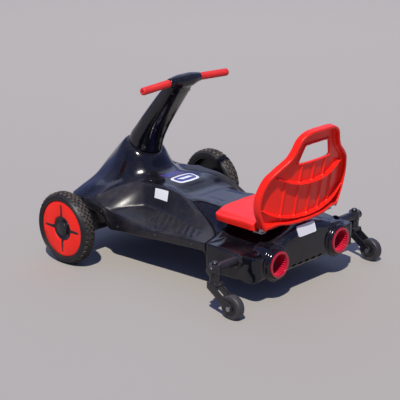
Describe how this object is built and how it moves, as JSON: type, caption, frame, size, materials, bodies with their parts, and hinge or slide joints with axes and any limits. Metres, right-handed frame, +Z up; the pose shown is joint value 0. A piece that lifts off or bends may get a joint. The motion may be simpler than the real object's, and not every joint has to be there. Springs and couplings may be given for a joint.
{
  "type": "electric drift kart for children",
  "caption": "Low ride-on electric drift kart with steered front wheels, swivelling rear casters, a moulded seat and a raked steering column.",
  "frame": {"origin": "on the floor, under the middle of the kart's length and width", "axes": "+X to the rider's right, +Y forward, +Z up"},
  "size_m": [0.806, 1.0112, 0.653],
  "materials": {
    "gloss_black": "polished moulding",
    "satin_black": "satin moulding",
    "black_steel": "black powder coat",
    "battery_case": "moulded case",
    "zinc_steel": "zinc plated",
    "red_plastic": "satin red moulding",
    "red_rubber": "soft red grip",
    "tyre_rubber": "black rubber",
    "caster_rubber": "grey black polyurethane",
    "lamp_red": "dark red translucent"
  },
  "bodies": {
    "frame": {"body_shell": "gloss_black", "side_cover_left": "satin_black", "side_cover_right": "satin_black", "chassis_frame": "black_steel", "battery_box": "battery_case", "battery_hatch": "satin_black", "rear_arm_left": "black_steel", "rear_arm_right": "black_steel", "lamp_housing_left": "gloss_black", "lamp_housing_right": "gloss_black", "lamp_ring_left": "lamp_red", "lamp_ring_right": "lamp_red", "lamp_core_left": "satin_black", "lamp_core_right": "satin_black", "seat_base": "red_plastic", "seat_back": "red_plastic", "seat_brackets": "zinc_steel"},
    "column": {"steering_column": "gloss_black", "grip_left": "red_rubber", "grip_right": "red_rubber", "steering_shaft": "zinc_steel"},
    "tie_rod": {"tie_rod": "zinc_steel"},
    "knuckle_left": {"knuckle_left": "black_steel", "drive_unit_left": "satin_black"},
    "wheel_front_left": {"tyre_front_left": "tyre_rubber", "rim_front_left": "satin_black", "wheel_cover_left": "red_plastic", "hub_cap_left": "satin_black"},
    "caster_left": {"caster_fork_left": "black_steel", "swivel_bolt_left": "black_steel", "caster_axle_left": "zinc_steel"},
    "caster_wheel_left": {"caster_tyre_left": "caster_rubber", "caster_hub_left": "satin_black"},
    "knuckle_right": {"knuckle_right": "black_steel", "drive_unit_right": "satin_black"},
    "wheel_front_right": {"tyre_front_right": "tyre_rubber", "rim_front_right": "satin_black", "wheel_cover_right": "red_plastic", "hub_cap_right": "satin_black"},
    "caster_right": {"caster_fork_right": "black_steel", "swivel_bolt_right": "black_steel", "caster_axle_right": "zinc_steel"},
    "caster_wheel_right": {"caster_tyre_right": "caster_rubber", "caster_hub_right": "satin_black"}
  },
  "joints": [
    {"name": "steer", "type": "hinge", "parent": "frame", "child": "column", "pos_m": [0, 0.31958, 0.365], "axis": [0, -0.4384, 0.8988], "range_deg": [-40, 40]},
    {"name": "kingpin_left", "type": "hinge", "parent": "frame", "child": "knuckle_left", "pos_m": [-0.318, 0.33758, 0.13], "axis": [0, 0, 1], "range_deg": [-20, 20]},
    {"name": "roll_front_left", "type": "hinge", "parent": "knuckle_left", "child": "wheel_front_left", "pos_m": [-0.376, 0.33758, 0.13], "axis": [1, 0, 0], "continuous": true},
    {"name": "swivel_left", "type": "hinge", "parent": "frame", "child": "caster_left", "pos_m": [-0.365, -0.36342, 0.12], "axis": [0, 0, 1], "continuous": true},
    {"name": "roll_caster_left", "type": "hinge", "parent": "caster_left", "child": "caster_wheel_left", "pos_m": [-0.365, -0.44042, 0.04], "axis": [1, 0, 0], "continuous": true},
    {"name": "kingpin_right", "type": "hinge", "parent": "frame", "child": "knuckle_right", "pos_m": [0.318, 0.33758, 0.13], "axis": [0, 0, 1], "range_deg": [-20, 20]},
    {"name": "roll_front_right", "type": "hinge", "parent": "knuckle_right", "child": "wheel_front_right", "pos_m": [0.376, 0.33758, 0.13], "axis": [1, 0, 0], "continuous": true},
    {"name": "swivel_right", "type": "hinge", "parent": "frame", "child": "caster_right", "pos_m": [0.365, -0.36342, 0.12], "axis": [0, 0, 1], "continuous": true},
    {"name": "roll_caster_right", "type": "hinge", "parent": "caster_right", "child": "caster_wheel_right", "pos_m": [0.365, -0.44042, 0.04], "axis": [1, 0, 0], "continuous": true},
    {"name": "tie_rod_eye", "type": "hinge", "parent": "knuckle_left", "child": "tie_rod", "pos_m": [-0.318, 0.39958, 0.078], "axis": [0, 0, 1], "range_deg": [-20, 20]}
  ],
  "couplings": [
    {"joint": "kingpin_left", "follows": "steer", "ratio": 0.5},
    {"joint": "kingpin_right", "follows": "steer", "ratio": 0.5},
    {"joint": "tie_rod_eye", "follows": "steer", "ratio": -0.5}
  ]
}
